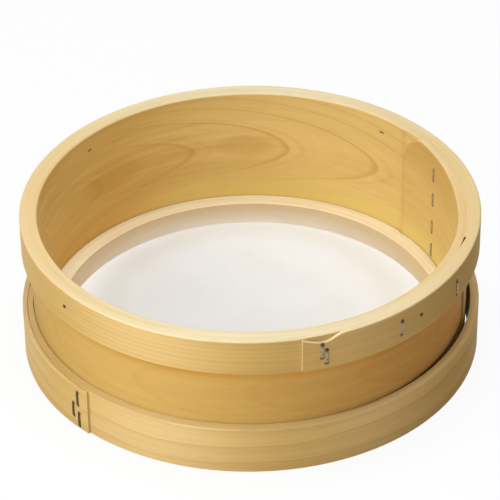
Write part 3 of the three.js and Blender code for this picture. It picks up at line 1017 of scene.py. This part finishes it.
def staple_places():
    """Each staple's node, its body, its seat as (radius, angle, height), its leg and the leg's direction."""
    size = hoops()
    wire = fasteners()
    level = size.inner_height + size.gap + cloth().thickness
    places = []
    for number, part in enumerate(BODY_STAPLE_SHARES, 1):
        seat = (body_inner_face(BODY_STAPLE_ANGLE), BODY_STAPLE_ANGLE, lerp(level, size.height, part))
        places.append((f"body_lap_staple_{number}", "frame", seat, wire.body_leg, 1))
    for number, (angle, below) in enumerate(TOP_STAPLES, 1):
        seat = (lap_outer_face(angle, *top_lap()), angle, size.height - below)
        places.append((f"top_lap_staple_{number}", "frame", seat, wire.band_leg, -1))
    for number, (angle, height) in enumerate(BOTTOM_STAPLES, 1):
        seat = (lap_outer_face(angle, *bottom_lap()), angle, height)
        places.append((f"bottom_lap_staple_{number}", "foot", seat, wire.band_leg, -1))
    return places


def swept_wire(name, path, sections, carry):
    """A wire swept along a flat path of (depth, height): each section is a list of (across, out) points.

    carry takes (depth, across, height) to the piece's place."""
    count = len(sections[0])
    points, wire = [], []
    travelled = -sum(math.dist(a, b) for a, b in zip(path, path[1:])) / 2.0
    for i, (spot, section) in enumerate(zip(path, sections)):
        before, after = path[max(i - 1, 0)], path[min(i + 1, len(path) - 1)]
        heading = (Vector(after) - Vector(before)).normalized()
        out = Vector((heading.y, -heading.x))
        travelled += math.dist(path[max(i - 1, 0)], spot)
        for across, away in section:
            depth, height = Vector(spot) + out * away
            points.append(carry(depth, across, height))
            wire.append((travelled, across, away))
    mesh = new_mesh(name, points, loft_faces(len(path), count))
    set_attribute(mesh, "wire", "FLOAT_VECTOR", wire)
    return mesh


def flat_wire(width, thickness, corner=0.45):
    """A flattened wire's section: a rectangle whose corners are rounded."""
    points = []
    for k in range(WIRE_SIDES):
        bearing = 2.0 * math.pi * (k + 0.5) / WIRE_SIDES
        c, s = math.cos(bearing), math.sin(bearing)
        points.append((width / 2.0 * math.copysign(abs(c) ** corner, c),
                       thickness / 2.0 * math.copysign(abs(s) ** corner, s)))
    return points


def staple_path(leg, point):
    """The middle line of a staple from one leg's point over the crown to the other, depth along +leg."""
    wire = fasteners()
    side = (wire.crown - wire.wire_thickness) / 2.0
    bend = wire.wire_thickness
    over = -wire.wire_thickness / 2.0
    half = [(leg + point, side), (leg, side), (leg * 0.4, side)]
    for step in range(STAPLE_BEND_STEPS + 1):
        bearing = math.pi / 2.0 * step / STAPLE_BEND_STEPS
        half.append((over + bend - bend * math.sin(bearing), side - bend + bend * math.cos(bearing)))
    crown = [(over - CROWN_BOW * math.sin(math.pi * i / CROWN_STEPS),
              lerp(side - bend, bend - side, i / CROWN_STEPS)) for i in range(1, CROWN_STEPS)]
    return [*half, *crown, *[(depth, -height) for depth, height in reversed(half)]]


def staple_mesh(name, seat, leg, direction):
    wire = fasteners()
    radius, angle, height = seat
    path = staple_path(leg, wire.point)
    whole = flat_wire(wire.wire_width, wire.wire_thickness)
    chisel = [(across, away * CHISEL_SHARE) for across, away in whole]
    sections = [chisel, *[whole] * (len(path) - 2), chisel]
    outward, aside = outward_and_aside(angle)

    def carry(depth, across, rise):
        flat = outward * (radius + direction * depth) + aside * across * direction
        return (flat.x, flat.y, height + rise)

    return swept_wire(name, path, sections, carry)


def leg_marks(lap, mid_radius, run_at, reach):
    """The stains where the legs of a lap's staples go into its strip, in the strip's grain coordinates."""
    wire = fasteners()
    side = (wire.crown - wire.wire_thickness) / 2.0
    marks = []
    for node, _, (radius, angle, height), _, _ in staple_places():
        if node.startswith(lap):
            run = math.radians(run_at(angle)) * mid_radius
            marks += [((run, height + end, radius - mid_radius), reach) for end in (-side, side)]
    return marks


BRAD_SIDES = 14
BRAD_BEND_STEPS = 4
# The dome of a brad's head: depths below its top, each with its share of the head's radius
BRAD_DOME = ((0.0, 0.12), (0.06 * MM, 0.62), (0.22 * MM, 0.93), (0.4 * MM, 1.0))
# Share of the shank's radius by which the clenched tip is sunk in the wood
BRAD_SUNK = 0.3


def brad_mesh(name, angle):
    """A brad: a low domed head outside, a shank through both layers, and a tip clenched along the inside."""
    wire = fasteners()
    outside = lap_outer_face(angle, *top_lap())
    inside = body_inner_face(angle)
    shank = wire.brad_shank
    bend_at = inside + BRAD_SUNK * shank
    top = outside + wire.brad_head_thickness
    stations = [(top - below, 0.0, part * wire.brad_head) for below, part in BRAD_DOME]
    stations += [(outside, 0.0, 0.96 * wire.brad_head), (outside - 0.05 * MM, 0.0, shank),
                 (inside + 2.0 * shank, 0.0, shank)]
    for step in range(BRAD_BEND_STEPS + 1):
        bearing = math.pi / 2.0 * step / BRAD_BEND_STEPS
        bend = (bend_at + shank * (1.0 - math.sin(bearing)), shank * (1.0 - math.cos(bearing)))
        stations.append((*bend, shank))
    stations += [(bend_at, wire.brad_clench * 0.6, shank * 0.9),
                 (bend_at + 0.15 * MM, wire.brad_clench - shank, shank * 0.2)]
    circle = [2.0 * math.pi * k / BRAD_SIDES for k in range(BRAD_SIDES)]
    sections = [[(reach * math.cos(bearing), reach * math.sin(bearing)) for bearing in circle]
                for _, _, reach in stations]
    outward, aside = outward_and_aside(angle)
    height = hoops().height - wire.brad_below_rim

    def carry(depth, across, sideways):
        flat = outward * depth + aside * sideways
        return (flat.x, flat.y, height + across)

    return swept_wire(name, [spot[:2] for spot in stations], sections, carry)


# Operators

BODY_RING_LENGTH, BODY_FLAME_WIDTH = 72 * MM, 9 * MM
# Darker patches inside the body: angle, height, half length, half width and strength; an angle past a
# full turn lies on the inner end of its lap. The broad patch at 143 degrees is painted shade on the
# inner face towards the back left.
BODY_HEARTS_AND_SHADE = (
    (134.0, 58 * MM, 32 * MM, 14 * MM, 0.34),
    (91.0, 58 * MM, 26 * MM, 9 * MM, 0.3),
    (143.0, 58 * MM, 105 * MM, 80 * MM, 0.34),
    (388.0, 50 * MM, 60 * MM, 90 * MM, 0.2),
)
BODY_STAIN, BAND_STAIN = 0.9 * MM, 1.9 * MM


class STRAINER_OT_body_hoop(bpy.types.Operator):
    """Bends the body hoop from one thin strip whose ends lap"""
    bl_idname = "strainer.body_hoop"
    bl_label = "Body hoop"

    def execute(self, context):
        size = hoops()
        tone = colours()
        mid = body_mid()
        first = math.degrees(size.body_inner_end)

        def run_to(angle):
            return math.radians(first - angle + FULL_TURN) * mid

        # Painted light and shade in the body's grain: warm shade outside, a sheen on the edges, a broad
        # patch of shade inside, shade in the gap above the bottom band, a shadow under the top band and
        # bounce light at the foot inside
        grain = Grain(strength=0.8, seed=1.0, along=1.0 / BODY_RING_LENGTH, through=90.0,
                      bow=1.0 / (BODY_FLAME_WIDTH * BODY_RING_LENGTH), bow_height=56 * MM,
                      start=0.201, wander=0.4, outside=0.85, plain=0.13, warm_shade=0.36,
                      bold=(0.62, 0.79), edge_sheen=(2.0 / mid, 3.306),
                      hearts_and_shade=[(run_to(angle), *extent) for angle, *extent in BODY_HEARTS_AND_SHADE],
                      gap_shade=(size.bottom_height - 2.5 * MM, size.bottom_height, 0.18, 0.3),
                      band_shadow=(size.height - size.top_height, 11.5 * MM),
                      painted_bounce=(16 * MM, 48 * MM, run_to(138.0), run_to(100.0), 0.09, 0.14))
        marks = leg_marks("body", mid, lambda angle: first - angle, BODY_STAIN)
        wood = bent_wood("body_wood", grain, tone.body_pale, tone.body_ring, marks)
        place_piece("bent_body", body_strip(), wood, "frame", "body_hoop")
        return {"FINISHED"}


class STRAINER_OT_top_band(bpy.types.Operator):
    """Bends the top band round the rim, its tongue shaved where it ends"""
    bl_idname = "strainer.top_band"
    bl_label = "Top band"

    def execute(self, context):
        tone = colours()
        mid = top_band_mid()
        lap_end = math.degrees(hoops().top_lap_end)
        # Painted light and shade: a sheen that swings along the edges, and light that swings along the faces
        grain = Grain(strength=0.7, seed=2.0, across=300.0, along=0.9, through=170.0, wander=1.6,
                      edge_sheen=(2.0 / mid, -4.300), light_swing=(6.0 / mid, -0.942))
        marks = leg_marks("top", mid, lambda angle: (angle - lap_end) % FULL_TURN, BAND_STAIN)
        wood = bent_wood("top_band_wood", grain, tone.band_pale, tone.band_ring, marks)
        place_piece("bent_top_band", top_band_strip(), wood, "frame", "top_band")
        return {"FINISHED"}


class STRAINER_OT_bottom_band(bpy.types.Operator):
    """Bends the bottom band round the foot, over the cloth's margin"""
    bl_idname = "strainer.bottom_band"
    bl_label = "Bottom band"

    def execute(self, context):
        tone = colours()
        mid = bottom_band_mid()
        lap_end = math.degrees(hoops().bottom_lap_end)
        # Painted light and shade: the faces swing lighter and darker round the band
        grain = Grain(strength=0.9, seed=3.0, across=70.0, along=1.4, through=120.0, wander=1.8,
                      light_swing=(6.0 / mid, 3.571))
        marks = leg_marks("bottom", mid, lambda angle: (lap_end - angle) % FULL_TURN, BAND_STAIN)
        wood = bent_wood("bottom_band_wood", grain, tone.foot_pale, tone.band_ring, marks, edge_share=0.2)
        place_piece("bent_bottom_band", bottom_band_strip(), wood, "foot", "bottom_band")
        return {"FINISHED"}


class STRAINER_OT_inner_hoop(bpy.types.Operator):
    """Bends the inner hoop that the cloth is strained over"""
    bl_idname = "strainer.inner_hoop"
    bl_label = "Inner hoop"

    def execute(self, context):
        tone = colours()
        grain = Grain(strength=0.5, seed=4.0, across=160.0, along=1.1, through=140.0, wander=1.4)
        # Its ledge and inner face take lighter colours: painted light where the cloth shades them
        wood = bent_wood("inner_hoop_wood", grain, tone.band_pale, tone.band_ring,
                         planed=tone.ledge_lit, inner=tone.under_cloth)
        place_piece("bent_inner_hoop", inner_hoop_strip(), wood, "foot", "inner_hoop")
        return {"FINISHED"}


class STRAINER_OT_cloth(bpy.types.Operator):
    """Strains the cloth over the inner hoop and tucks its margin behind the bottom band"""
    bl_idname = "strainer.cloth"
    bl_label = "Cloth"

    def execute(self, context):
        weave = straining_cloth("straining_weave")
        sheet = place_piece("strained_cloth", cloth_sheet(), weave, "foot", "strainer_cloth")
        return {"FINISHED"}


class STRAINER_OT_staples(bpy.types.Operator):
    """Drives the wire staples through the three laps"""
    bl_idname = "strainer.staples"
    bl_label = "Staples"

    def execute(self, context):
        tone = colours()
        finishes = {
            "body": fastener_steel("inner_staple_steel", tone.steel_bright, 0.3),
            "top": fastener_steel("top_staple_steel", tone.steel, 1.0, 0.35),
            "bottom": fastener_steel("foot_staple_steel", tone.steel_foot, 0.6),
        }
        for node, body, seat, leg, direction in staple_places():
            piece = node.replace("_lap", "")
            mesh = staple_mesh(piece, seat, leg, direction)
            place_piece(piece, mesh, finishes[node.split("_")[0]], body, node)
        return {"FINISHED"}


class STRAINER_OT_brads(bpy.types.Operator):
    """Drives the brads through the top band and clenches their tips"""
    bl_idname = "strainer.brads"
    bl_label = "Brads"

    def execute(self, context):
        steel = fastener_steel("brad_steel", colours().steel, 1.0)
        for number, angle in enumerate(BRAD_ANGLES, 1):
            piece = f"brad_{number}"
            place_piece(piece, brad_mesh(piece, angle), steel, "frame", f"top_band_brad_{number}")
        return {"FINISHED"}


LAMP_AIM = (0.0, 0.0, 0.05)
# The lamps, each with its place and width
LAMPS = {
    "key": ((-0.20, -0.42, 0.18), 0.2),
    "side": ((-1.25, -0.34, 0.8), 0.8),
    "front": ((0.3, -1.2, 0.9), 0.9),
    "top": ((0.05, 0.15, 1.6), 1.1),
}


def area_lamp(name, place, width, watts):
    data = bpy.data.lights.new(name, "AREA")
    data.shape = "DISK"
    data.size = width
    data.energy = watts
    lamp = bpy.data.objects.new(name, data)
    lamp.location = place
    lamp.visible_camera = False
    lamp.rotation_euler = (Vector(LAMP_AIM) - Vector(place)).to_track_quat("-Z", "Y").to_euler()
    bpy.context.scene.collection.objects.link(lamp)


def seen_directly(finish):
    """1 for what the camera, a reflection or a clear material shows, 0 for light that falls on a surface."""
    camera, glossy, through = [finish.node("ShaderNodeLightPath", output=f"Is {ray} Ray")
                               for ray in ("Camera", "Glossy", "Transmission")]
    return camera.greater(glossy).greater(through)


SHADOW_KEPT = 0.08
FLOOR_REACH = 4.0
FLOOR_DROP = 0.2 * MM


def stage_floor():
    reach = FLOOR_REACH
    corners = [(-reach, -reach, 0.0), (reach, -reach, 0.0), (reach, reach, 0.0), (-reach, reach, 0.0)]
    mesh = new_mesh("floor", corners, [(0, 1, 2, 3)])
    floor = bpy.data.objects.new("floor", mesh)
    floor.location.z = -FLOOR_DROP
    bpy.context.scene.collection.objects.link(floor)
    finish = Finish(bpy.data.materials.new("floor_paper"))
    tone = (*colours().floor, 1.0)
    paper = finish.node("ShaderNodeBsdfDiffuse", None, {"Color": (*colours().paper, 1.0)})
    shaded = finish.node("ShaderNodeBsdfDiffuse", None, {"Color": tone})
    white = finish.node("ShaderNodeEmission", None, {"Color": tone, "Strength": 1.0})
    direct = finish.node("ShaderNodeMixShader", None, {0: 1.0 - SHADOW_KEPT, 1: shaded, 2: white})
    shown = finish.node("ShaderNodeMixShader", None, {0: seen_directly(finish), 1: paper, 2: direct})
    finish.node("ShaderNodeOutputMaterial", None, {"Surface": shown})
    mesh.materials.append(finish.owner)


def stage_world():
    world = bpy.data.worlds.new("studio")
    bpy.context.scene.world = world
    finish = Finish(world)
    sky = stage().sky
    strength = seen_directly(finish) * (1.0 - sky) + sky
    light = finish.node("ShaderNodeBackground", None, {"Color": (1.0, 1.0, 1.0, 1.0), "Strength": strength})
    finish.node("ShaderNodeOutputWorld", None, {"Surface": light})


def stage_camera():
    view = stage()
    data = bpy.data.cameras.new("camera")
    data.lens = view.lens
    data.sensor_width = 36.0
    data.shift_x = view.shift
    camera = bpy.data.objects.new("camera", data)
    look = Vector((0.0, 0.0, view.look_height))
    back = Vector((0.0, -math.cos(view.elevation), math.sin(view.elevation)))
    camera.location = look + back * view.distance
    camera.rotation_euler = (math.pi / 2.0 - view.elevation, 0.0, 0.0)
    camera.rotation_euler.rotate_axis("Z", view.roll)
    bpy.context.scene.collection.objects.link(camera)
    bpy.context.scene.camera = camera


class STRAINER_OT_stage(bpy.types.Operator):
    """Lays the floor and sets the lamps and the camera"""
    bl_idname = "strainer.stage"
    bl_label = "Stage"

    def execute(self, context):
        context.scene.view_settings.view_transform = "Standard"
        stage_camera()
        stage_floor()
        stage_world()
        for name, (place, width) in LAMPS.items():
            area_lamp(f"{name}_lamp", place, width, getattr(stage(), name))
        return {"FINISHED"}


class STRAINER_PT_panel(bpy.types.Panel):
    """Lists the steps that build the strainer"""
    bl_idname = "STRAINER_PT_panel"
    bl_label = "Stock strainer"
    bl_space_type = "VIEW_3D"
    bl_region_type = "UI"
    bl_category = "Strainer"

    def draw(self, context):
        for operator in OPERATORS:
            self.layout.operator(operator.bl_idname)


GROUPS = {
    "strainer_hoops": StrainerHoops,
    "strainer_cloth": StrainerCloth,
    "strainer_fasteners": StrainerFasteners,
    "strainer_colours": StrainerColours,
    "strainer_stage": StrainerStage,
}
OPERATORS = (
    STRAINER_OT_stage,
    STRAINER_OT_body_hoop,
    STRAINER_OT_top_band,
    STRAINER_OT_bottom_band,
    STRAINER_OT_inner_hoop,
    STRAINER_OT_cloth,
    STRAINER_OT_staples,
    STRAINER_OT_brads,
)
CLASSES = (*GROUPS.values(), *OPERATORS, STRAINER_PT_panel)


def register():
    for made in CLASSES:
        bpy.utils.register_class(made)
    for name, group in GROUPS.items():
        setattr(bpy.types.Scene, name, PointerProperty(type=group))


def unregister():
    for name in GROUPS:
        delattr(bpy.types.Scene, name)
    for made in reversed(CLASSES):
        bpy.utils.unregister_class(made)


def main():
    register()
    bpy.ops.strainer.stage()
    bpy.ops.strainer.body_hoop()
    bpy.ops.strainer.top_band()
    bpy.ops.strainer.bottom_band()
    bpy.ops.strainer.inner_hoop()
    bpy.ops.strainer.cloth()
    bpy.ops.strainer.staples()
    bpy.ops.strainer.brads()


if __name__ == "__main__":
    main()
